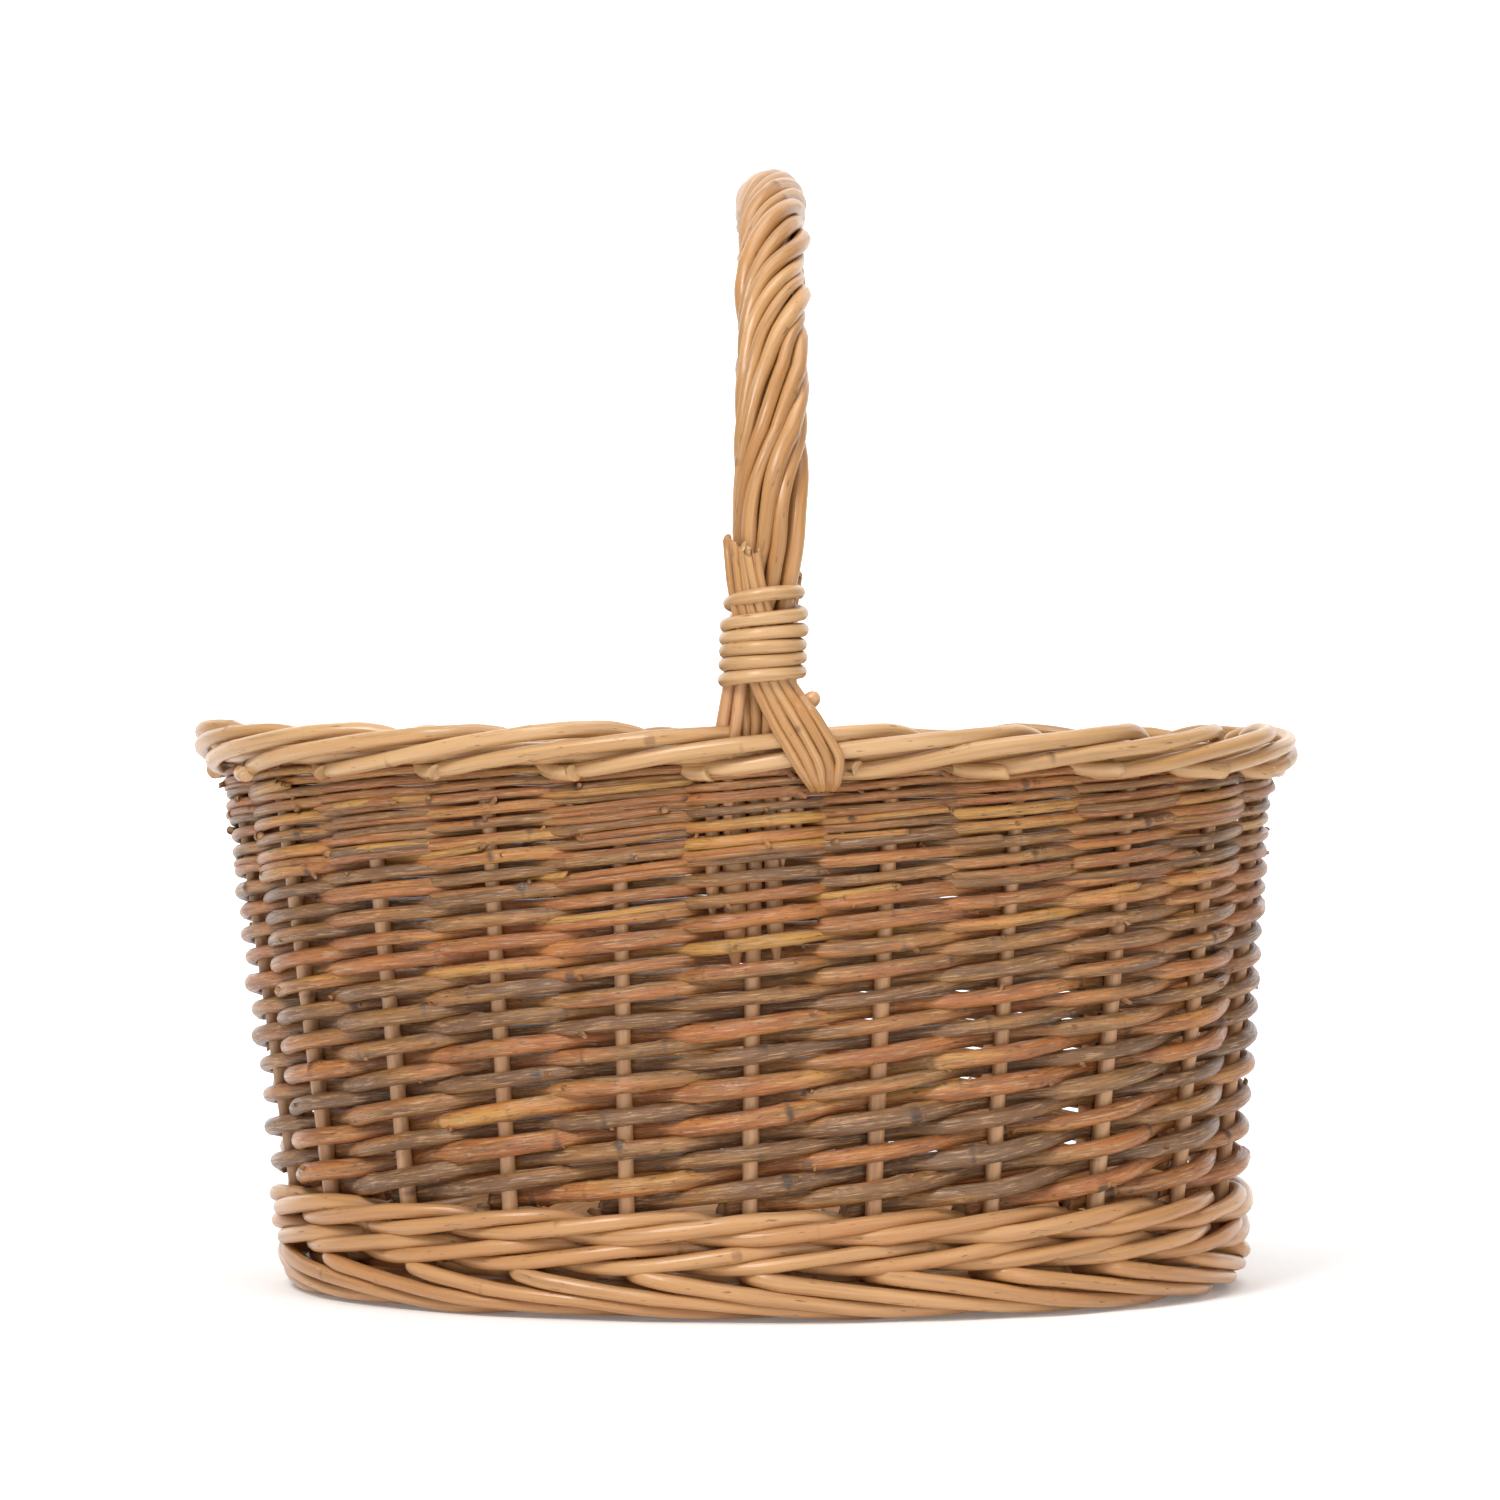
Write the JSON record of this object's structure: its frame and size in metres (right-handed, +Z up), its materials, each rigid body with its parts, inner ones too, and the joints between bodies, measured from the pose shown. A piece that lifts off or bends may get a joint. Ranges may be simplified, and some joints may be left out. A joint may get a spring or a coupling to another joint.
{
  "type": "woven market basket",
  "caption": "Oval willow basket with a randed brown wall, buff wale, foot and rolled border, and a fixed roped arch handle.",
  "frame": {"origin": "on the ground, at the middle of the basket's bounding box", "axes": "+Z up, +X along the long side, +Y along the short side; the handle arches across X"},
  "size_m": [0.44, 0.3426, 0.4439],
  "materials": {
    "stakes": "varnished buff willow",
    "base_sticks": "buff willow sticks",
    "base_weave": "woven buff willow",
    "foot_border": "varnished buff willow",
    "wale": "varnished buff willow",
    "siding_rods": "varnished brown willow with its bark on",
    "rim_border": "varnished buff willow",
    "handle_bow": "round hardwood or willow bow",
    "handle_roping": "varnished buff willow",
    "binding": "varnished buff willow",
    "lashing": "varnished buff willow",
    "leg_rods": "varnished buff willow"
  },
  "bodies": {
    "root": {"stake_01": "stakes", "stake_02": "stakes", "stake_03": "stakes", "stake_04": "stakes", "stake_05": "stakes", "stake_06": "stakes", "stake_07": "stakes", "stake_08": "stakes", "stake_09": "stakes", "stake_10": "stakes", "stake_11": "stakes", "stake_12": "stakes", "stake_13": "stakes", "stake_14": "stakes", "stake_15": "stakes", "stake_16": "stakes", "stake_17": "stakes", "stake_18": "stakes", "stake_19": "stakes", "stake_20": "stakes", "stake_21": "stakes", "stake_22": "stakes", "base_long_stick_1": "base_sticks", "base_long_stick_2": "base_sticks", "base_long_stick_3": "base_sticks", "base_cross_stick_1": "base_sticks", "base_cross_stick_2": "base_sticks", "base_cross_stick_3": "base_sticks", "base_cross_stick_4": "base_sticks", "base_cross_stick_5": "base_sticks", "base_cross_stick_6": "base_sticks", "base_weave": "base_weave", "foot_border": "foot_border", "lower_wale": "wale", "upper_wale": "wale", "siding_weave": "siding_rods", "rim_border": "rim_border", "handle_bow": "handle_bow", "handle_roping": "handle_roping", "front_binding": "binding", "back_binding": "binding", "front_lashing": "lashing", "back_lashing": "lashing", "front_leg_rods": "leg_rods", "back_leg_rods": "leg_rods"}
  },
  "joints": []
}
